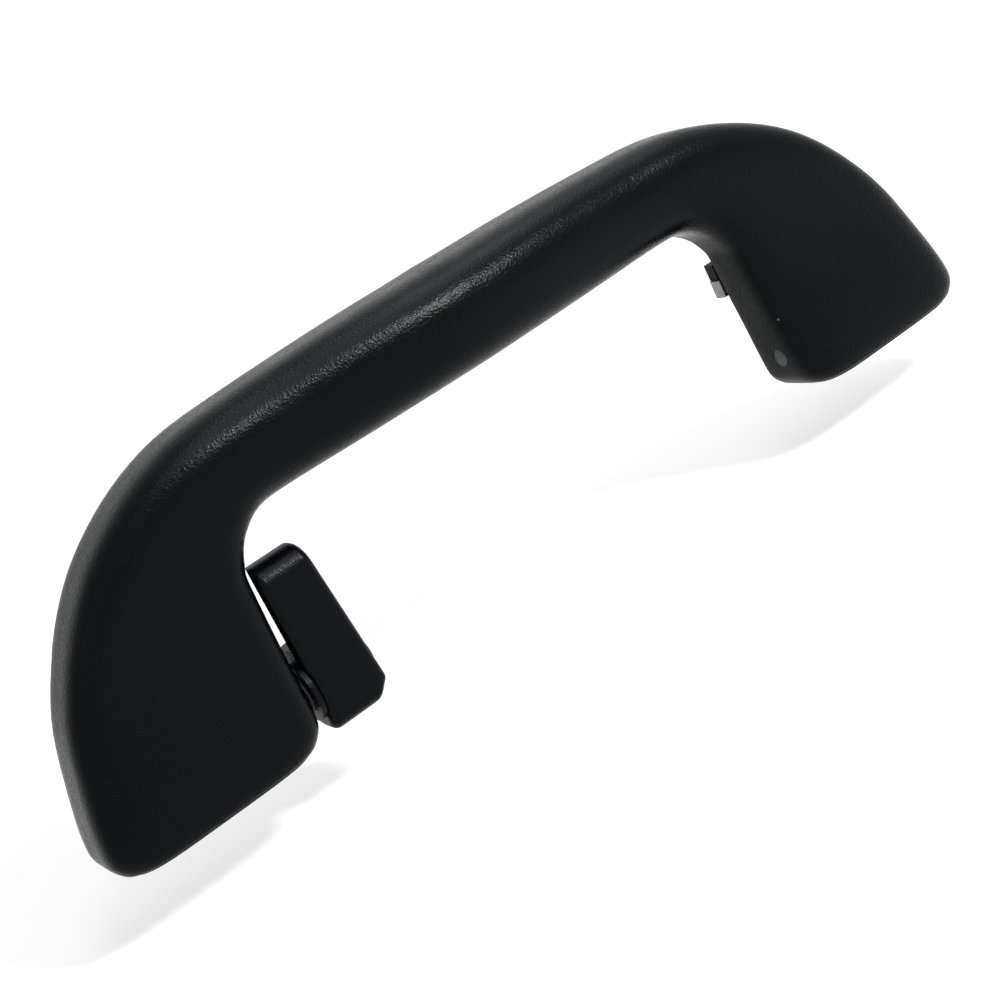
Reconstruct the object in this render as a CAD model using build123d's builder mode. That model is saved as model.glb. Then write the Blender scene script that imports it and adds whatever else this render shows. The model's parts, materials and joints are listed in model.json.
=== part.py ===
from build123d import *
from math import asin, cos, degrees, pi, radians, sin, sqrt
import os

# Folding roof grab handle with a coat hook, stowed against the roof.
# x runs along the handle, z up towards the bar, y into the roof.
# The origin lies on the mounting plane, halfway between the two screw holes.

# Mounting
screw_spacing = 160.0
screw_hole_radius = 3.3
hinge_drop = 20.0
hinge_depth = 14.8

# Bow outline in the front view
crown_height = 31.4
crown_radius = 900.0
crown_overrun = 3.5
shoulder_radius = 53.0
shoulder_turn = 70.5
flank_radius = 97.5
bar_underside = 11.9
corner_reach = 46.5
corner_radius = 11.0
leg_lean = 1.3
base_below_hinge = 7.8
base_rounding = 5.4
base_rounding_depth = 2.2
base_rounding_steps = (0.0, 0.25, 0.5, 0.7, 0.85, 0.95)

# Bow depth, measured from the mounting plane
bar_front = 24.4
corner_front = 21.1
base_front = 23.6
bar_back = 2.0
leg_back = 4.1
rim_depth_top = 8.4
rim_depth_base = 8.5
rim_ramp_radius = 5.6

# Bow cross sections, as powers of a superellipse
bar_front_power = 2.5
leg_front_power = 4.4
back_power = 4.8
section_points = 32
corner_angles = (67.5, 52.0, 35.0, 15.0)

# Leg cavities
side_wall = 2.7
front_wall = 2.6
cavity_top = 9.6
cavity_corner = 0.8
cavity_levels = (-14.0, -4.0, 3.0)
toe_end = 1.2
pivot_boss_height = 1.4
pivot_boss_radius = 4.5
pivot_bore_depth = 2.4

# Pins and running fits
pin_radius = 1.8
running_gap = 0.05
side_gap = 0.5
part_gap = 0.3
seat_gap = 0.1
press_gap = 0.02
pin_chamfer = 0.4

# Brackets
barrel_radius = 5.2
plate_thickness = 2.6
plate_ear_inset = 2.4
plate_reach_outer = 7.4
plate_top = 9.4
plate_shoulder = -6.0
plate_low_inset = 1.6
plate_low_outset = 3.8
plate_neck_height = 1.0
plate_corner = 4.5
ear_width = 6.2
inner_web_width = 3.8
outer_web_width = 2.4
ear_underside = 3.2
ear_foot_height = 5.6
nose_height = 12.5
nose_width = 3.2
tower_radius = 7.0
tower_height = 12.0
head_recess_radius = 5.8
head_recess_depth = 3.2
rib_thickness = 1.8
rib_spacing = 8.0
rib_reach = 6.0
clip_lug_length = 7.0
clip_lug_top = -0.2
clip_lug_reach = 3.2
spring_post_radius = 1.1
spring_post_length = 3.0

# Sleeves, covers and clips
sleeve_wall = 1.3
sleeve_flange = 0.8
cover_thickness = 1.2
cover_skirt_wall = 1.1
cover_skirt_length = 2.0
clip_thickness = 0.5
clip_width = 3.6
clip_leaf = 3.0

# Return springs
spring_wire_radius = 0.6
spring_coil_radius = 3.9
spring_pitch = 1.9
spring_fixed_arm = 9.5
spring_toe_arm = 6.0
spring_toe_angle = -16.0
spring_fixed_angle = -10.0

# Rotary damper in the right leg
damper_length = 12.0
damper_radius = 4.1
damper_wall = 0.9
damper_cap_thickness = 1.4
damper_end_wall = 2.0
rotor_shaft_radius = 1.8
rotor_gap = 0.1
tongue_thickness = 2.0
tongue_width = 3.4
tongue_length = 2.2
seal_radius = 0.4
seal_space = 1.1

# Stop buffers under the ears
buffer_thickness = 1.0
buffer_length = 3.4

# Coat hook
hook_standoff = 1.6
hook_width = 12.4
hook_taper = 1.9
hook_draft = 2.2
hook_low_corner = 3.2
hook_front = 18.8
hook_shank = 7.2
hook_lip_depth = 8.4
hook_lip_height = 9.2
hook_lip_slope = 2.4
hook_top = 3.7
hook_knuckle_radius = 8.2
hook_top_rounding = 4.3
hook_low_rounding = 2.4
hook_corner = 2.0
hook_edge = 1.6
hook_boss_radius = 5.5
washer_thickness = 0.4
washer_radius = 3.6
pin_head_radius = 3.2
pin_head_thickness = 1.0

hinge_y = -hinge_depth
hinge_z = -hinge_drop
screw_x = screw_spacing / 2
base_z = hinge_z - base_below_hinge
corner_z = bar_underside - corner_radius
crown_reach = corner_reach + crown_overrun
corner_x = corner_reach + corner_radius
crown_center_z = crown_height - crown_radius
shoulder_start = degrees(asin(crown_reach / crown_radius))
shoulder_x = crown_reach - shoulder_radius * sin(radians(shoulder_start))
shoulder_z = crown_center_z + (crown_radius - shoulder_radius) * cos(radians(shoulder_start))
flank_x = shoulder_x - (flank_radius - shoulder_radius) * sin(radians(shoulder_turn))
flank_z = shoulder_z - (flank_radius - shoulder_radius) * cos(radians(shoulder_turn))
flank_top = shoulder_z + shoulder_radius * cos(radians(shoulder_turn))


def blend(start, end, share):
    """Smooth step from one value to another."""
    share = min(max(share, 0.0), 1.0)
    return start + (end - start) * share * share * (3 - 2 * share)


def inner_face(z):
    """Distance of a leg's inner face from the middle, at a height below the corner."""
    return corner_x + leg_lean * (corner_z - z) / (corner_z - hinge_z)


def outer_face(z):
    """Distance of a leg's outer face from the middle, at a height."""
    if z > flank_top:
        return shoulder_x + sqrt(shoulder_radius**2 - (z - shoulder_z) ** 2)
    return flank_x + sqrt(flank_radius**2 - (z - flank_z) ** 2)


def front_face(z):
    """Depth of a leg's front face at a height."""
    return blend(corner_front, base_front, (corner_z - z) / (corner_z - base_z))


def shoulder_reach(angle):
    """Length of the section through the corner at an angle from vertical."""
    across = shoulder_x - corner_reach
    up = shoulder_z - corner_z
    along = across * sin(radians(angle)) + up * cos(radians(angle))
    square = across**2 + up**2 - shoulder_radius**2
    return along + sqrt(along**2 - square) - corner_radius


pivot_face = outer_face(hinge_z) - side_wall - pivot_boss_height
outer_ear_end = pivot_face - side_gap
inner_ear_start = inner_face(hinge_z) + side_wall + side_gap
inner_ear_end = inner_ear_start + ear_width
damper_start = outer_ear_end - damper_length
chamber_start = damper_start + damper_wall + seat_gap
cap_start = outer_ear_end - damper_cap_thickness
chamber_radius = damper_radius - damper_wall
rotor_end = cap_start - seal_space
ear_low = hinge_z + ear_underside
spring_room = damper_start - damper_end_wall - inner_ear_end - 2 * (spring_wire_radius + part_gap)
spring_arm_turns = (spring_fixed_arm + spring_toe_arm) / (2 * pi * spring_coil_radius)
spring_turns = int(spring_room / spring_pitch - spring_arm_turns)
plate_inner = inner_ear_start + plate_ear_inset
plate_outer = screw_x + plate_reach_outer
hook_inner = inner_face(hinge_z) - hook_standoff
hook_side = hook_inner - hook_width


def bow_stations():
    """Sections of the right half, base first: inner point, direction outwards, width, depths, power."""
    stations = base_stations()[:0:-1]
    rounding_top = base_z + base_rounding * base_rounding_steps[-1]
    for share in (0.0, 0.3, 0.65, 1.0):
        z = rounding_top + (corner_z - rounding_top) * share
        width = outer_face(z) - inner_face(z)
        stations.append(((inner_face(z), z), 90.0, width, front_face(z), leg_back, leg_front_power))
    for angle in corner_angles:
        share = angle / 90
        x = corner_reach + corner_radius * sin(radians(angle))
        z = corner_z + corner_radius * cos(radians(angle))
        back = blend(bar_back, leg_back, share)
        power = blend(bar_front_power, leg_front_power, share)
        stations.append(((x, z), angle, shoulder_reach(angle), corner_front, back, power))
    for share in (1.0, 0.68, 0.34, 0.0, -0.34, -0.68):
        x = corner_reach * share
        top = crown_center_z + sqrt(crown_radius**2 - x**2)
        front = blend(bar_front, corner_front, abs(share))
        stations.append(((x, bar_underside), 0.0, top - bar_underside, front, bar_back, bar_front_power))
    return stations


def base_stations():
    """Sections of a leg's rounded end, from the straight leg down to the flat end face."""
    stations = []
    for step in base_rounding_steps:
        z = base_z + base_rounding * (base_rounding_steps[-1] - step)
        share = 1 - sqrt(1 - step**2)
        inset = base_rounding * share
        shallow = base_rounding_depth * share
        width = outer_face(z) - inner_face(z) - 2 * inset
        depths = (front_face(z) - shallow, leg_back + shallow)
        stations.append(((inner_face(z) + inset, z), 90.0, width, *depths, leg_front_power))
    return stations


def bow_section(station):
    """One closed cross section of the bow's right half."""
    (x, z), angle, width, front, back, front_power = station
    outward = Vector(sin(radians(angle)), 0, cos(radians(angle)))
    middle = Vector(x, -(front + back) / 2, z) + outward * (width / 2)
    plane = Plane(origin=middle, x_dir=outward, z_dir=outward.cross(Vector(0, 1, 0)))
    depth = (front - back) / 2
    points = []
    for step in range(section_points):
        turn = 2 * pi * step / section_points
        power = front_power if sin(turn) < 0 else back_power
        reach = (abs(cos(turn)) ** power + abs(sin(turn)) ** power) ** (-1 / power)
        points.append((width / 2 * reach * cos(turn), depth * reach * sin(turn)))
    with BuildSketch(plane) as section:
        with BuildLine():
            Spline(*points, periodic=True)
        make_face()
    return section.sketch


def build_bow():
    """Bar and both legs in one moulding: solid bar, legs hollow and open towards the roof."""
    with BuildPart() as bow:
        loft([bow_section(station) for station in bow_stations()])
        split(bisect_by=Plane.YZ)
        mirror(about=Plane.YZ)
        with BuildSketch(Plane.YZ):
            with BuildLine():
                top = (-rim_depth_top, bar_underside - rim_ramp_radius)
                lean = (rim_depth_base - rim_depth_top) / (top[1] - hinge_z)
                low = (top[0] - lean * (top[1] - base_z), base_z)
                far = (top[0] + rim_ramp_radius, bar_underside)
                Line(low, top)
                RadiusArc(top, far, rim_ramp_radius)
                Polyline(far, (far[0], base_z), low)
            make_face()
        extrude(amount=2 * screw_x, both=True, mode=Mode.SUBTRACT)
        for side in (1, -1):
            add(leg_cavity(side), mode=Mode.SUBTRACT)
        for side in (1, -1):
            with BuildSketch(Plane.YZ.offset(side * pivot_face)):
                with Locations((hinge_y, hinge_z)):
                    Circle(pivot_boss_radius)
            extrude(amount=side * (pivot_boss_height + side_wall / 2))
            with BuildSketch(Plane.YZ.offset(side * corner_reach)):
                with Locations((hinge_y, hinge_z)):
                    Circle(pin_radius + running_gap)
            extrude(amount=side * (inner_face(hinge_z) + 2 * side_wall - corner_reach), mode=Mode.SUBTRACT)
        with BuildSketch(Plane.YZ.offset(-corner_reach)):
            with Locations((hinge_y, hinge_z)):
                Circle(hook_boss_radius + part_gap)
        extrude(amount=corner_reach - inner_face(hinge_z), mode=Mode.SUBTRACT)
        with BuildSketch(Plane.YZ.offset(-pivot_face)):
            with Locations((hinge_y, hinge_z)):
                Circle(pin_radius + running_gap)
        extrude(amount=-pivot_bore_depth, mode=Mode.SUBTRACT)
        with BuildSketch(Plane.YZ.offset(pivot_face)):
            with Locations((hinge_y, hinge_z)):
                Rectangle(tongue_thickness + 2 * running_gap, tongue_width + 2 * running_gap)
        extrude(amount=pivot_bore_depth, mode=Mode.SUBTRACT)
    return bow


def leg_cavity(side):
    """Hollow of one leg, open at the back, with a toe wall in front of the hinge."""
    floor = hinge_z - barrel_radius - part_gap
    with BuildPart() as cavity:
        for z in (floor, *cavity_levels, cavity_top):
            inner = inner_face(min(z, corner_z)) + side_wall
            outer = outer_face(z) - side_wall
            front = -front_face(z) + front_wall
            with BuildSketch(Plane.XY.offset(z)) as section:
                with Locations((side * (inner + outer) / 2, front / 2)):
                    Rectangle(outer - inner, -front)
                fillet(section.vertices().group_by(Axis.Y)[0], cavity_corner)
        loft()
        inner = inner_face(floor) + side_wall
        outer = outer_face(floor) - side_wall
        front = hinge_y + toe_end
        with BuildSketch(Plane.XY.offset(floor + part_gap)):
            with Locations((side * (inner + outer) / 2, front / 2)):
                Rectangle(outer - inner, -front)
        extrude(amount=base_z - floor - 2 * part_gap)
    return cavity.part


def bracket_plate():
    """Outline of a bracket's back plate, narrower above the hinge."""
    with BuildSketch(Plane.XZ) as plate:
        with BuildLine():
            neck = ear_low + ear_foot_height
            Polyline(
                (plate_inner + plate_low_inset, ear_low),
                (outer_ear_end - plate_low_outset, ear_low),
                (outer_ear_end - plate_low_outset, neck),
                (plate_outer, plate_shoulder),
                (plate_outer, plate_top),
                (plate_inner, plate_top),
                (plate_inner, neck + plate_neck_height),
                (plate_inner + plate_low_inset, neck),
                close=True,
            )
        make_face()
        fillet(plate.vertices().group_by(Axis.Y)[-1], plate_corner)
        with Locations((plate_inner, clip_lug_top - clip_lug_length / 2)):
            Rectangle(2 * clip_lug_reach, clip_lug_length)
    return plate.sketch


def ear_profile():
    """Side outline of an ear: hinge barrel, foot on the plate and nose under the front wall."""
    nose_z = hinge_z + nose_height
    nose_y = -front_face(nose_z) + front_wall + part_gap
    with BuildSketch(Plane.YZ) as ear:
        with BuildLine():
            Polyline(
                (hinge_y, ear_low),
                (-plate_thickness / 2, ear_low),
                (-plate_thickness / 2, ear_low + ear_foot_height),
                (nose_y + nose_width, nose_z),
                (nose_y, nose_z),
                (hinge_y - barrel_radius, hinge_z),
                (hinge_y, hinge_z),
                close=True,
            )
        make_face()
        with Locations((hinge_y, hinge_z)):
            Circle(barrel_radius)
    return ear.sketch


def build_bracket(outer_ear_width, outer_bore_radius, outer_bore_depth):
    """Right-hand bracket: back plate, two ears, screw tower, ribs and the spring's post."""
    ear = ear_profile()
    pin_bore = pin_radius + press_gap
    with BuildPart() as bracket:
        extrude(bracket_plate(), amount=plate_thickness)
        with Locations(Location((inner_ear_end - inner_web_width, 0, 0))):
            add(extrude(ear, amount=inner_web_width, mode=Mode.PRIVATE))
        with Locations(Location((outer_ear_end - outer_ear_width, 0, 0))):
            add(extrude(ear, amount=outer_web_width, mode=Mode.PRIVATE))
        for start, width in ((inner_ear_start, ear_width), (outer_ear_end - outer_ear_width, outer_ear_width)):
            with BuildSketch(Plane.YZ.offset(start)):
                with Locations((hinge_y, hinge_z)):
                    Circle(barrel_radius)
            extrude(amount=width)
        with BuildSketch(Plane.XZ):
            with Locations((screw_x, 0)):
                Circle(tower_radius)
        extrude(amount=tower_height)
        for offset in (-rib_spacing / 2, rib_spacing / 2):
            with BuildSketch(Plane.YZ.offset(screw_x + offset)):
                with BuildLine():
                    foot = ear_low + ear_foot_height / 2
                    Polyline(
                        (-plate_thickness / 2, foot),
                        (-plate_thickness - rib_reach, -tower_radius + rib_thickness),
                        (-plate_thickness / 2, -tower_radius + rib_thickness),
                        close=True,
                    )
                make_face()
            extrude(amount=rib_thickness / 2, both=True)
        post_y = hinge_y + spring_coil_radius - spring_wire_radius / 2
        with BuildSketch(Plane.YZ.offset(inner_ear_end)):
            with Locations((post_y, hinge_z + spring_fixed_arm - spring_post_radius)):
                Circle(spring_post_radius)
        extrude(amount=spring_post_length)
        with BuildSketch(Plane.XZ):
            with Locations((screw_x, 0)):
                Circle(screw_hole_radius + sleeve_wall + seat_gap)
        extrude(amount=tower_height, mode=Mode.SUBTRACT)
        with BuildSketch(Plane.XZ.offset(tower_height - head_recess_depth)):
            with Locations((screw_x, 0)):
                Circle(head_recess_radius)
        extrude(amount=head_recess_depth, mode=Mode.SUBTRACT)
        with BuildSketch(Plane.YZ.offset(inner_ear_start)):
            with Locations((hinge_y, hinge_z)):
                Circle(pin_bore)
        extrude(amount=outer_ear_end - inner_ear_start, mode=Mode.SUBTRACT)
        with BuildSketch(Plane.YZ.offset(outer_ear_end - outer_bore_depth)):
            with Locations((hinge_y, hinge_z)):
                Circle(outer_bore_radius)
        extrude(amount=outer_bore_depth, mode=Mode.SUBTRACT)
        clip_low = clip_lug_top - clip_lug_length
        leaf_end = plate_inner + clip_leaf
        with BuildSketch(Plane.XY.offset(clip_low)):
            with Locations((leaf_end / 2, 0)):
                Rectangle(leaf_end, 2 * (clip_thickness + seat_gap))
        extrude(amount=clip_width + seat_gap, mode=Mode.SUBTRACT)
    return bracket


def build_long_pin():
    """Left hinge pin: from its head in the coat hook to the blind bore of the outer wall."""
    outer_end = pivot_face + pivot_bore_depth - seat_gap
    head_face = hook_side + seat_gap
    with BuildPart() as pin:
        with BuildSketch(Plane.YZ.offset(-head_face)):
            with Locations((hinge_y, hinge_z)):
                Circle(pin_radius)
        extrude(amount=head_face - outer_end)
        with BuildSketch(Plane.YZ.offset(-head_face)):
            with Locations((hinge_y, hinge_z)):
                Circle(pin_head_radius)
        extrude(amount=-pin_head_thickness)
        chamfer(pin.edges().sort_by(Axis.X)[0], pin_chamfer)
    return pin


def build_short_pin():
    """Right hinge pin: flush with the leg's inner face, ends inside the outer ear's wall."""
    end = damper_start - seat_gap
    with BuildPart() as pin:
        with BuildSketch(Plane.YZ.offset(inner_face(hinge_z))):
            with Locations((hinge_y, hinge_z)):
                Circle(pin_radius)
        extrude(amount=end - inner_face(hinge_z))
        chamfer(pin.edges().sort_by(Axis.X)[-1], pin_chamfer)
    return pin


def build_return_spring():
    """Right-hand torsion spring on the pin: one arm at the toe wall, one behind the ear's post."""
    turns = spring_turns + (spring_fixed_angle - spring_toe_angle) / 360
    with BuildPart() as coil:
        with BuildLine():
            turn = Helix(spring_pitch, spring_pitch * turns, spring_coil_radius, lefthand=True)
        for place, direction, length in (
            (turn @ 0, turn % 0 * -1, spring_toe_arm),
            (turn @ 1, turn % 1, spring_fixed_arm),
        ):
            with BuildSketch(Plane(origin=place, z_dir=direction)):
                Circle(spring_wire_radius)
            extrude(amount=length)
        with BuildSketch(Plane(origin=turn @ 0, z_dir=turn % 0)) as wire:
            Circle(spring_wire_radius)
        sweep(wire.sketch, path=turn)
    arm_lean = spring_fixed_arm * spring_pitch / (2 * pi * spring_coil_radius)
    start = inner_ear_end + spring_wire_radius + part_gap + arm_lean + spring_pitch * turns
    angle = radians(spring_toe_angle)
    seat = Plane(origin=(start, hinge_y, hinge_z), x_dir=(0, cos(angle), sin(angle)), z_dir=(-1, 0, 0))
    with BuildPart() as spring:
        with Locations(seat.location):
            add(coil.part)
    return spring


def build_sleeve():
    """Steel sleeve that carries the screw's clamping load, with a flange under the screw head."""
    seat = tower_height - head_recess_depth
    with BuildPart() as sleeve:
        with BuildSketch(Plane.XZ):
            with Locations((screw_x, 0)):
                Circle(screw_hole_radius + sleeve_wall)
        extrude(amount=seat)
        with BuildSketch(Plane.XZ.offset(seat)):
            with Locations((screw_x, 0)):
                Circle(head_recess_radius - part_gap)
        extrude(amount=sleeve_flange)
        with Locations(Plane.XZ.offset(seat + sleeve_flange)):
            with Locations((screw_x, 0)):
                Hole(screw_hole_radius, depth=seat + sleeve_flange)
    return sleeve


def build_cover():
    """Snap-in cover over the screw head."""
    with BuildPart() as cover:
        with BuildSketch(Plane.XZ.offset(tower_height)):
            with Locations((screw_x, 0)):
                Circle(tower_radius)
        extrude(amount=cover_thickness)
        fillet(cover.edges().group_by(Axis.Y)[0], cover_thickness / 2)
        with BuildSketch(Plane.XZ.offset(tower_height)):
            with Locations((screw_x, 0)):
                Circle(head_recess_radius - seat_gap)
                Circle(head_recess_radius - seat_gap - cover_skirt_wall, mode=Mode.SUBTRACT)
        extrude(amount=-cover_skirt_length)
    return cover


def build_clip():
    """Spring steel clip folded round the lug at the plate's inner edge."""
    edge = plate_inner - clip_lug_reach - running_gap
    leaf_end = plate_inner + clip_leaf - seat_gap - clip_thickness / 2
    back = -(clip_thickness / 2 + running_gap)
    front = -(plate_thickness + clip_thickness / 2 + running_gap)
    fold = edge - clip_thickness / 2
    with BuildPart() as clip:
        with BuildSketch(Plane.XY.offset(clip_lug_top - clip_lug_length + running_gap)) as sheet:
            with BuildLine():
                path = FilletPolyline(
                    (leaf_end, back),
                    (fold, back),
                    (fold, front),
                    (leaf_end, front),
                    radius=clip_thickness * 0.8,
                )
                offset(path, amount=clip_thickness / 2, kind=Kind.INTERSECTION, side=Side.BOTH)
            make_face()
        extrude(amount=clip_width)
    return clip


def build_buffer():
    """Soft pad under the inner ear, where the toe wall stops the open handle."""
    front = hinge_y + barrel_radius + part_gap
    with BuildPart() as pad:
        with BuildSketch(Plane.YZ.offset(inner_ear_end - inner_web_width + seat_gap)):
            with Locations((front + buffer_length / 2, ear_low - buffer_thickness / 2)):
                RectangleRounded(buffer_length, buffer_thickness, buffer_thickness / 3)
        extrude(amount=inner_web_width - 2 * seat_gap)
    return pad


def build_damper_housing():
    """Damper cup pressed into the right bracket's outer barrel."""
    with BuildPart() as housing:
        with BuildSketch(Plane.YZ.offset(damper_start + seat_gap)):
            with Locations((hinge_y, hinge_z)):
                Circle(damper_radius)
        extrude(amount=damper_length - seat_gap)
        with BuildSketch(Plane.YZ.offset(chamber_start)):
            with Locations((hinge_y, hinge_z)):
                Circle(chamber_radius)
        extrude(amount=outer_ear_end - chamber_start, mode=Mode.SUBTRACT)
    return housing


def build_damper_rotor():
    """Damper rotor, shaft and flat tongue that sits in the leg's slot."""
    with BuildPart() as rotor:
        with BuildSketch(Plane.YZ.offset(chamber_start + part_gap)):
            with Locations((hinge_y, hinge_z)):
                Circle(chamber_radius - rotor_gap)
        extrude(amount=rotor_end - chamber_start - part_gap)
        with BuildSketch(Plane.YZ.offset(rotor_end)):
            with Locations((hinge_y, hinge_z)):
                Circle(rotor_shaft_radius)
        extrude(amount=pivot_face - seat_gap - rotor_end)
        with BuildSketch(Plane.YZ.offset(pivot_face - seat_gap)):
            with Locations((hinge_y, hinge_z)):
                Rectangle(tongue_thickness, tongue_width)
        extrude(amount=tongue_length)
    return rotor


def build_damper_cap():
    """Ring that closes the damper and carries the rotor's shaft."""
    with BuildPart() as cap:
        with BuildSketch(Plane.YZ.offset(cap_start)):
            with Locations((hinge_y, hinge_z)):
                Circle(chamber_radius - press_gap)
                Circle(rotor_shaft_radius + running_gap, mode=Mode.SUBTRACT)
        extrude(amount=damper_cap_thickness)
    return cap


def build_damper_seal():
    """Round seal between the rotor and the cap."""
    middle = cap_start - running_gap - seal_radius
    ring = rotor_shaft_radius + running_gap + seal_radius
    with BuildPart() as seal:
        with BuildSketch(Plane.XY.offset(hinge_z)):
            with Locations((middle, hinge_y + ring)):
                Circle(seal_radius)
        revolve(axis=Axis((0, hinge_y, hinge_z), (1, 0, 0)))
    return seal


def corners_at(sketch, depth):
    """Corners of a side outline at one depth, lowest first."""
    return sketch.vertices().filter_by(lambda corner: abs(corner.X - depth) < 0.01).sort_by(Axis.Y)


def hook_profile():
    """Side outline of the coat hook: knuckle on the pin, flat shank, lip turned back at the top."""
    shank_back = -hook_front + hook_shank
    lip_back = -hook_front + hook_lip_depth
    lip_low = hook_top - hook_lip_height
    hook_base = hinge_z - hook_knuckle_radius
    with BuildSketch(Plane.YZ) as profile:
        with BuildLine():
            Polyline(
                (-hook_front, hook_base),
                (-hook_front, hook_top),
                (shank_back, hook_top),
                (lip_back, lip_low),
                (shank_back, lip_low - hook_lip_slope),
                (shank_back, hinge_z),
                (hinge_y, hinge_z),
                (hinge_y, hook_base),
                close=True,
            )
        make_face()
        with Locations((hinge_y, hinge_z)):
            Circle(hook_knuckle_radius)
        with Locations((-hook_front, hinge_z)):
            Rectangle(
                2 * hook_knuckle_radius,
                3 * hook_knuckle_radius,
                align=(Align.MAX, Align.CENTER),
                mode=Mode.SUBTRACT,
            )
        fillet(corners_at(profile, -hook_front)[-1], hook_top_rounding)
        fillet(corners_at(profile, -hook_front)[0], hook_low_rounding)
        fillet(corners_at(profile, shank_back) + corners_at(profile, lip_back), hook_corner)
    return profile.sketch


def build_coat_hook():
    """Coat hook on the left hinge pin, folded up beside the leg, narrower towards its top."""
    flare = hook_taper * hook_knuckle_radius / (hook_top - hinge_z)
    low_slope = hook_taper * hook_low_corner / (hook_top - hinge_z)
    boss = inner_face(hinge_z) - hook_inner - washer_thickness - 3 * seat_gap
    profile = hook_profile()
    with BuildPart() as hook:
        with Locations(Location((-hook_inner, 0, 0))):
            add(extrude(profile, amount=hook_width + flare, mode=Mode.PRIVATE))
        with BuildSketch(Plane.XZ):
            with BuildLine():
                low = hinge_z - hook_knuckle_radius
                Polyline(
                    (flare - hook_side - hook_low_corner, low),
                    (flare - hook_side - low_slope, low + hook_low_corner),
                    (-hook_side - hook_taper, hook_top),
                    (flare - hook_side, hook_top),
                    (flare - hook_side, low),
                    close=True,
                )
            make_face()
        extrude(amount=2 * hook_front, mode=Mode.SUBTRACT)
        free = hook.faces().filter_by(GeomType.PLANE).filter_by(lambda face: face.normal_at().X > 0.3)
        edges = hook.faces().sort_by(Axis.X)[0].edges() + [edge for face in free for edge in face.edges()]
        fillet(edges, hook_edge)
        with BuildSketch(Plane.XY.offset(hinge_z + hook_knuckle_radius)):
            with BuildLine():
                Polyline(
                    (-hook_inner, -hook_front + hook_edge),
                    (-hook_inner + hook_draft, -hook_front + hook_lip_depth),
                    (-hook_inner, -hook_front + hook_lip_depth),
                    close=True,
                )
            make_face()
        extrude(amount=hook_top - hinge_z, mode=Mode.SUBTRACT)
        with BuildSketch(Plane.YZ.offset(-hook_inner)):
            with Locations((hinge_y, hinge_z)):
                Circle(hook_boss_radius)
        extrude(amount=-boss)
        with BuildSketch(Plane.YZ.offset(flare - hook_side)):
            with Locations((hinge_y, hinge_z)):
                Circle(pin_head_radius + seat_gap)
        extrude(amount=-(flare + pin_head_thickness + 2 * seat_gap), mode=Mode.SUBTRACT)
        with BuildSketch(Plane.YZ.offset(-hook_side)):
            with Locations((hinge_y, hinge_z)):
                Circle(pin_radius + running_gap)
        extrude(amount=-(hook_width + boss), mode=Mode.SUBTRACT)
    return hook


def build_friction_washer():
    """Washer that brakes the coat hook against the leg's side."""
    with BuildPart() as washer:
        with BuildSketch(Plane.YZ.offset(-inner_face(hinge_z) + seat_gap)):
            with Locations((hinge_y, hinge_z)):
                Circle(washer_radius)
                Circle(pin_radius + running_gap, mode=Mode.SUBTRACT)
        extrude(amount=washer_thickness)
    return washer


def mirrored(piece):
    """The same piece on the left-hand side."""
    with BuildPart() as left:
        mirror(piece.part, about=Plane.YZ)
    return left


def write(name, piece):
    """Label a finished piece and write it under its node's name."""
    piece.part.label = name
    export_step(piece.part, f"parts/{name}.step")


os.makedirs("parts", exist_ok=True)

write("grip_bow", build_bow())
write("right_bracket", build_bracket(damper_length + damper_end_wall, damper_radius + press_gap, damper_length))
write("left_bracket", mirrored(build_bracket(ear_width, pin_radius + press_gap, ear_width)))
write("left_hinge_pin", build_long_pin())
write("right_hinge_pin", build_short_pin())

paired = {
    "return_spring": build_return_spring(),
    "screw_sleeve": build_sleeve(),
    "screw_cover": build_cover(),
    "retaining_clip": build_clip(),
    "stop_buffer": build_buffer(),
}
for name, piece in paired.items():
    write(f"right_{name}", piece)
    write(f"left_{name}", mirrored(piece))

write("damper_housing", build_damper_housing())
write("damper_rotor", build_damper_rotor())
write("damper_cap", build_damper_cap())
write("damper_seal", build_damper_seal())
write("coat_hook", build_coat_hook())
write("hook_friction_washer", build_friction_washer())
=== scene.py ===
import json

import bpy
from mathutils import Matrix, Vector


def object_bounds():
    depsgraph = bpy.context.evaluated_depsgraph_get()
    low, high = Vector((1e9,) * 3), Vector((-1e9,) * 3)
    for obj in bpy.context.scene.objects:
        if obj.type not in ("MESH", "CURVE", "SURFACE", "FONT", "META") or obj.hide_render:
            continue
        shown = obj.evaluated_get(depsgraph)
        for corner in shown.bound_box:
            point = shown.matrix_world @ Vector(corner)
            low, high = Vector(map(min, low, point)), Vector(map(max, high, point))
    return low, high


# Roof grab handle, seen from its left front with the bar up, as it is stowed against the roof.
# Metres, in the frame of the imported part: x along the handle, y into the roof, z up to the bar.

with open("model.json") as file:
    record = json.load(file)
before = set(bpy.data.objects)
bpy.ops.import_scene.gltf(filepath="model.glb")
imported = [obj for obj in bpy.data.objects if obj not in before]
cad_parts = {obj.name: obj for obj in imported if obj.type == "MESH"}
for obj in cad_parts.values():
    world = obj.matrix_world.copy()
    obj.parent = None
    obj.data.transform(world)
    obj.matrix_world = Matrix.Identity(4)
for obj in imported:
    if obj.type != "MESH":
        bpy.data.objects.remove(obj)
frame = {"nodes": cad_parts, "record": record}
cad_low, cad_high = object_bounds()

# Camera: its place, its turn as an axis times an angle, and its lens in millimetres
CAMERA_PLACE = (-0.15171, -0.31690, 0.09038)
CAMERA_TURN = (1.6775228924, -0.8181516773, -0.0162358512)
LENS = 70.35
SENSOR = 36.0
NEAREST_SEEN = 0.01

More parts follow.
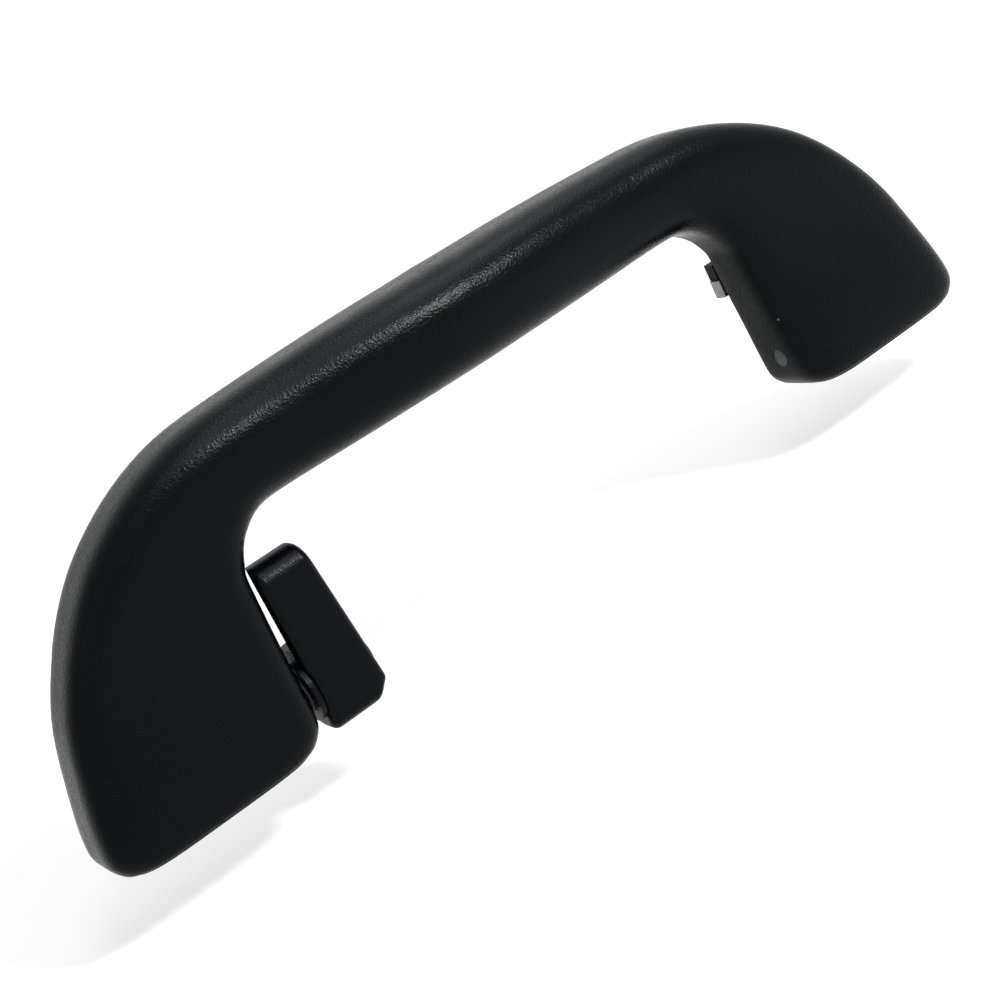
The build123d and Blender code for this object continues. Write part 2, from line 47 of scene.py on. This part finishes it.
# Floor: its glow to the camera rises from a near to a far distance, as less light falls there
FLOOR_DROP = 0.012
FLOOR_SIZE = 30.0
FLOOR_COLOUR = 0.55
FLOOR_ROUGHNESS = 0.9
FLOOR_GLOW_NEAR = 0.66
FLOOR_GLOW_FAR = 0.90
FLOOR_NEAR = 0.20
FLOOR_FAR = 0.75

# Lamps: place, width and height, and power in watts
LAMPS = {
    "key": ((0.23, -0.43, 0.41), (0.10, 0.10), 3.6),
    "overhead": ((0.18, -0.11, 0.60), (0.80, 0.24), 2.0),
    "fill": ((-0.75, -0.75, 0.45), (0.9, 0.9), 0.5),
}
LAMP_TARGET = (0.0, -0.012, 0.0)
WORLD_LEVEL = 0.30

# Noise seldom leaves this range, so patches and marks are stretched from it
NOISE_LOW = 0.3
NOISE_HIGH = 0.7

# Grained black plastic mirrors little of its surroundings
PLASTIC_SPECULAR = 0.08

# Grain: how finely its cells are warped and by how many cells, how much they run together,
# and the finer specks on them. A fineness is in features per cell.
WARP_FINENESS = 0.8
WARP_SHIFT = 0.7
CELL_SMOOTHNESS = 0.3
SPECK_FINENESS = 2.5
SPECK_HEIGHT = 0.6

# Roughness added in the creases of the grain and taken off its crests, and the height of each
CREASE_DULLER = 0.10
CREST_GLOSSIER = -0.06
CREASE_HEIGHT = -0.5
CREST_HEIGHT = 0.2

# Colour and gloss patches of plastic, in features per metre
COLOUR_PATCHES = 45.0
GLOSS_PATCHES = 110.0
GLOSS_BELOW = 0.03
GLOSS_ABOVE = 0.04

# Rubbed edges: the pointiness at which the wear begins and is full, its share of the colour,
# and how many times paler it is
RUBBED_FROM = 0.53
RUBBED_TO = 0.60
RUBBED_SHARE = 0.35
RUBBED_PALENESS = 2.2

# Specks of dust: the inner part of a speck is fully pale, and its edge fades
DUST_COLOUR = (0.22, 0.22, 0.21)
DUST_SPACING = 0.017
DUST_SIZE = 0.00035
DUST_PALE_PART = 0.5

# Steel: patches of colour, fine marks and their relief
STEEL_PATCHES = 350.0
STEEL_GLOSS_BELOW = 0.08
STEEL_GLOSS_ABOVE = 0.12
STEEL_RELIEF = 0.00001

# Rubber: its bloom and its relief
RUBBER_BLOOM = 900.0
RUBBER_COLOUR_FROM = 0.35
RUBBER_GLOSSIEST = 0.6
RUBBER_DULLEST = 0.85
RUBBER_RELIEF = 0.00002


def nodes_of(name):
    """A new material with its node tree, its shader and the object's own coordinates."""
    material = bpy.data.materials.new(name)
    material.use_nodes = True
    tree = material.node_tree
    shader = tree.nodes["Principled BSDF"]
    place = tree.nodes.new("ShaderNodeTexCoord").outputs["Object"]
    return material, tree, shader, place


def noise(tree, place, scale, detail=2.0):
    """Noise texture at a scale, in features per metre."""
    node = tree.nodes.new("ShaderNodeTexNoise")
    node.inputs["Scale"].default_value = scale
    node.inputs["Detail"].default_value = detail
    tree.links.new(place, node.inputs["Vector"])
    return node.outputs["Fac"]


def ranged(tree, value, low, high, start=0.0, end=1.0):
    """A value stretched from one range, start to end, to another, low to high."""
    node = tree.nodes.new("ShaderNodeMapRange")
    node.inputs["From Min"].default_value = start
    node.inputs["From Max"].default_value = end
    node.inputs["To Min"].default_value = low
    node.inputs["To Max"].default_value = high
    tree.links.new(value, node.inputs["Value"])
    return node.outputs["Result"]


def maths(tree, operation, first, second):
    """Two values combined; either may be a plain number."""
    node = tree.nodes.new("ShaderNodeMath")
    node.operation = operation
    for socket, value in zip(node.inputs, (first, second)):
        if isinstance(value, (int, float)):
            socket.default_value = value
        else:
            tree.links.new(value, socket)
    return node.outputs["Value"]


def mixed(tree, share, first, second):
    """A colour between two, by a share from 0 to 1; the first may be a colour or a link."""
    node = tree.nodes.new("ShaderNodeMix")
    node.data_type = "RGBA"
    if isinstance(first, tuple):
        node.inputs["A"].default_value = (*first, 1.0)
    else:
        tree.links.new(first, node.inputs["A"])
    node.inputs["B"].default_value = (*second, 1.0)
    tree.links.new(share, node.inputs["Factor"])
    return node.outputs["Result"]


def relief(tree, shader, height, depth):
    """Relief of a depth in metres."""
    node = tree.nodes.new("ShaderNodeBump")
    node.inputs["Distance"].default_value = depth
    tree.links.new(height, node.inputs["Height"])
    tree.links.new(node.outputs["Normal"], shader.inputs["Normal"])


def grain(tree, place, cell):
    """Leather-like moulded grain: rounded cells with creases between them, broken up by noise."""
    warp = tree.nodes.new("ShaderNodeTexNoise")
    warp.inputs["Scale"].default_value = WARP_FINENESS / cell
    tree.links.new(place, warp.inputs["Vector"])
    shift = tree.nodes.new("ShaderNodeVectorMath")
    shift.operation = "MULTIPLY_ADD"
    shift.inputs[1].default_value = [WARP_SHIFT * cell] * 3
    tree.links.new(warp.outputs["Color"], shift.inputs[0])
    tree.links.new(place, shift.inputs[2])
    cells = tree.nodes.new("ShaderNodeTexVoronoi")
    cells.feature = "SMOOTH_F1"
    cells.inputs["Scale"].default_value = 1 / cell
    cells.inputs["Smoothness"].default_value = CELL_SMOOTHNESS
    tree.links.new(shift.outputs["Vector"], cells.inputs["Vector"])
    fine = noise(tree, place, SPECK_FINENESS / cell, detail=3.0)
    specks = maths(tree, "MULTIPLY", fine, SPECK_HEIGHT)
    return maths(tree, "SUBTRACT", specks, cells.outputs["Distance"])


def dust(tree, place):
    """Sparse pale specks: 1 in a speck, 0 elsewhere."""
    specks = tree.nodes.new("ShaderNodeTexVoronoi")
    specks.inputs["Scale"].default_value = 1 / DUST_SPACING
    tree.links.new(place, specks.inputs["Vector"])
    edge = DUST_SIZE / DUST_SPACING
    return ranged(tree, specks.outputs["Distance"], 1.0, 0.0, edge * DUST_PALE_PART, edge)


def moulded_plastic(name, dark, pale, roughness, cell, depth, dusty=False):
    """Moulded plastic with grain, a little colour and gloss variation, and rubbed edges."""
    material, tree, shader, place = nodes_of(name)
    shader.inputs["Specular IOR Level"].default_value = PLASTIC_SPECULAR
    patches = noise(tree, place, COLOUR_PATCHES, detail=3.0)
    colour = mixed(tree, ranged(tree, patches, 0.0, 1.0, NOISE_LOW, NOISE_HIGH), dark, pale)
    edges = tree.nodes.new("ShaderNodeNewGeometry").outputs["Pointiness"]
    worn = ranged(tree, edges, 0.0, 1.0, RUBBED_FROM, RUBBED_TO)
    brighter = [min(1.0, RUBBED_PALENESS * share) for share in pale]
    colour = mixed(tree, maths(tree, "MULTIPLY", worn, RUBBED_SHARE), colour, brighter)
    if dusty:
        colour = mixed(tree, dust(tree, place), colour, DUST_COLOUR)
    tree.links.new(colour, shader.inputs["Base Color"])
    height = grain(tree, place, cell)
    gloss = noise(tree, place, GLOSS_PATCHES, detail=4.0)
    glossiest = roughness - GLOSS_BELOW
    dullest = roughness + GLOSS_ABOVE
    even = ranged(tree, gloss, glossiest, dullest, NOISE_LOW, NOISE_HIGH)
    hollow = ranged(tree, height, CREASE_DULLER, CREST_GLOSSIER, CREASE_HEIGHT, CREST_HEIGHT)
    tree.links.new(maths(tree, "ADD", even, hollow), shader.inputs["Roughness"])
    relief(tree, shader, height, depth)
    return material


def worked_steel(name, dark, pale, roughness, closeness, fineness):
    """Steel with patches of colour and fine marks, which lie closer together on some axes."""
    material, tree, shader, place = nodes_of(name)
    shader.inputs["Metallic"].default_value = 1.0
    stretch = tree.nodes.new("ShaderNodeMapping")
    stretch.inputs["Scale"].default_value = closeness
    tree.links.new(place, stretch.inputs["Vector"])
    marks = noise(tree, stretch.outputs["Vector"], fineness, detail=4.0)
    patches = noise(tree, place, STEEL_PATCHES)
    colour = mixed(tree, ranged(tree, patches, 0.0, 1.0, NOISE_LOW, NOISE_HIGH), dark, pale)
    tree.links.new(colour, shader.inputs["Base Color"])
    glossiest = roughness - STEEL_GLOSS_BELOW
    dullest = roughness + STEEL_GLOSS_ABOVE
    gloss = ranged(tree, marks, glossiest, dullest, NOISE_LOW, NOISE_HIGH)
    tree.links.new(gloss, shader.inputs["Roughness"])
    relief(tree, shader, marks, STEEL_RELIEF)
    return material


def soft_rubber(name, dark, pale):
    """Dull rubber with a fine bloom."""
    material, tree, shader, place = nodes_of(name)
    bloom = noise(tree, place, RUBBER_BLOOM, detail=3.0)
    colour = mixed(tree, ranged(tree, bloom, 0.0, 1.0, RUBBER_COLOUR_FROM, NOISE_HIGH), dark, pale)
    tree.links.new(colour, shader.inputs["Base Color"])
    gloss = ranged(tree, bloom, RUBBER_GLOSSIEST, RUBBER_DULLEST, NOISE_LOW, NOISE_HIGH)
    tree.links.new(gloss, shader.inputs["Roughness"])
    relief(tree, shader, bloom, RUBBER_RELIEF)
    return material


# Each row: the slot's name, its darker and its paler colour, then what its material asks for
PLASTICS = (
    # roughness, size of a grain cell and depth of the grain in metres, dusty or not
    ("grip_plastic", (0.0004, 0.0009, 0.0018), (0.0008, 0.0015, 0.0027), 0.22, 0.00050, 0.000042, True),
    ("hook_plastic", (0.0004, 0.0009, 0.0017), (0.0008, 0.0015, 0.0026), 0.27, 0.00045, 0.000030),
    ("bracket_plastic", (0.014, 0.015, 0.016), (0.022, 0.023, 0.024), 0.50, 0.00030, 0.000012),
    ("cover_plastic", (0.012, 0.013, 0.014), (0.018, 0.019, 0.020), 0.45, 0.00040, 0.000015),
    ("damper_plastic", (0.55, 0.54, 0.49), (0.66, 0.65, 0.60), 0.42, 0.00040, 0.000008),
    ("rotor_plastic", (0.46, 0.46, 0.44), (0.56, 0.56, 0.53), 0.40, 0.00040, 0.000008),
)
STEELS = (
    # roughness, how many times closer the marks lie along x, y and z, marks per metre
    ("pin_steel", (0.05, 0.055, 0.055), (0.08, 0.085, 0.085), 0.48, (1.0, 6.0, 6.0), 900.0),
    ("spring_steel", (0.26, 0.26, 0.27), (0.38, 0.38, 0.40), 0.36, (6.0, 1.0, 1.0), 1200.0),
    ("sleeve_steel", (0.50, 0.49, 0.43), (0.62, 0.61, 0.56), 0.38, (1.0, 6.0, 1.0), 800.0),
    ("clip_steel", (0.20, 0.20, 0.21), (0.30, 0.30, 0.31), 0.40, (1.0, 1.0, 6.0), 900.0),
    # The washer is blackened steel like the pins, and its dark colour also paints the shade in the gap
    # between the hook's boss and the leg, where it sits
    ("washer_steel", (0.05, 0.05, 0.055), (0.08, 0.08, 0.085), 0.45, (6.0, 1.0, 1.0), 900.0),
)
RUBBERS = (
    ("buffer_rubber", (0.012, 0.012, 0.012), (0.026, 0.026, 0.026)),
    ("seal_rubber", (0.010, 0.010, 0.010), (0.020, 0.020, 0.020)),
)
FINISHES = {row[0]: moulded_plastic(*row) for row in PLASTICS}
FINISHES |= {row[0]: worked_steel(*row) for row in STEELS}
FINISHES |= {row[0]: soft_rubber(*row) for row in RUBBERS}

for part in frame["record"]["subparts"]:
    for slot in frame["nodes"][part["node"]].material_slots:
        slot.link = "OBJECT"
        slot.material = FINISHES[part["material_slot"]]


def background_seen(tree):
    """1 on a ray that shows the background: straight, mirrored or through glass; else 0."""
    rays = tree.nodes.new("ShaderNodeLightPath")
    seen = maths(tree, "MAXIMUM", rays.outputs["Is Camera Ray"], rays.outputs["Is Glossy Ray"])
    return maths(tree, "MAXIMUM", seen, rays.outputs["Is Transmission Ray"])


def pale_floor():
    """Large pale floor that looks white to the camera and keeps the shadow."""
    height = cad_low[2] - FLOOR_DROP
    bpy.ops.mesh.primitive_plane_add(size=FLOOR_SIZE, location=(0, 0, height))
    floor = bpy.context.object
    floor.name = "floor"
    material, tree, shader, place = nodes_of("pale_floor")
    shader.inputs["Base Color"].default_value = (FLOOR_COLOUR, FLOOR_COLOUR, FLOOR_COLOUR, 1.0)
    shader.inputs["Roughness"].default_value = FLOOR_ROUGHNESS
    shader.inputs["Specular IOR Level"].default_value = 0.0
    shader.inputs["Emission Color"].default_value = (1.0, 1.0, 1.0, 1.0)
    away = tree.nodes.new("ShaderNodeVectorMath")
    away.operation = "LENGTH"
    tree.links.new(place, away.inputs[0])
    distance = away.outputs["Value"]
    level = ranged(tree, distance, FLOOR_GLOW_NEAR, FLOOR_GLOW_FAR, FLOOR_NEAR, FLOOR_FAR)
    glow = maths(tree, "MULTIPLY", background_seen(tree), level)
    tree.links.new(glow, shader.inputs["Emission Strength"])
    floor.data.materials.append(material)


def white_world():
    """Even surroundings, white to the camera, in reflections and through glass."""
    world = bpy.data.worlds.new("studio")
    bpy.context.scene.world = world
    world.use_nodes = True
    tree = world.node_tree
    background = tree.nodes["Background"]
    background.inputs["Color"].default_value = (1.0, 1.0, 1.0, 1.0)
    strength = ranged(tree, background_seen(tree), WORLD_LEVEL, 1.0)
    tree.links.new(strength, background.inputs["Strength"])


def soft_lamp(name, place, size, power):
    """Rectangular soft light that faces the handle."""
    lamp = bpy.data.lights.new(name, "AREA")
    lamp.shape = "RECTANGLE"
    lamp.size, lamp.size_y = size
    lamp.energy = power
    holder = bpy.data.objects.new(name, lamp)
    holder.location = place
    aim = Vector(LAMP_TARGET) - Vector(place)
    holder.rotation_euler = aim.to_track_quat("-Z", "Y").to_euler()
    bpy.context.collection.objects.link(holder)


def photo_camera():
    """Camera where the photograph was taken from, rolled as it was held."""
    turn = Vector(CAMERA_TURN)
    rows = Matrix.Rotation(turn.length, 3, turn.normalized())
    right, down, ahead = (Vector(row) for row in rows)
    lens = bpy.data.cameras.new("camera")
    lens.lens = LENS
    lens.sensor_width = SENSOR
    lens.clip_start = NEAREST_SEEN
    camera = bpy.data.objects.new("camera", lens)
    axes = Matrix((right, -down, -ahead)).transposed().to_4x4()
    camera.matrix_world = Matrix.Translation(CAMERA_PLACE) @ axes
    bpy.context.collection.objects.link(camera)
    bpy.context.scene.camera = camera


pale_floor()
white_world()
for name, (place, size, power) in LAMPS.items():
    soft_lamp(name, place, size, power)
photo_camera()
bpy.context.scene.view_settings.view_transform = "Standard"
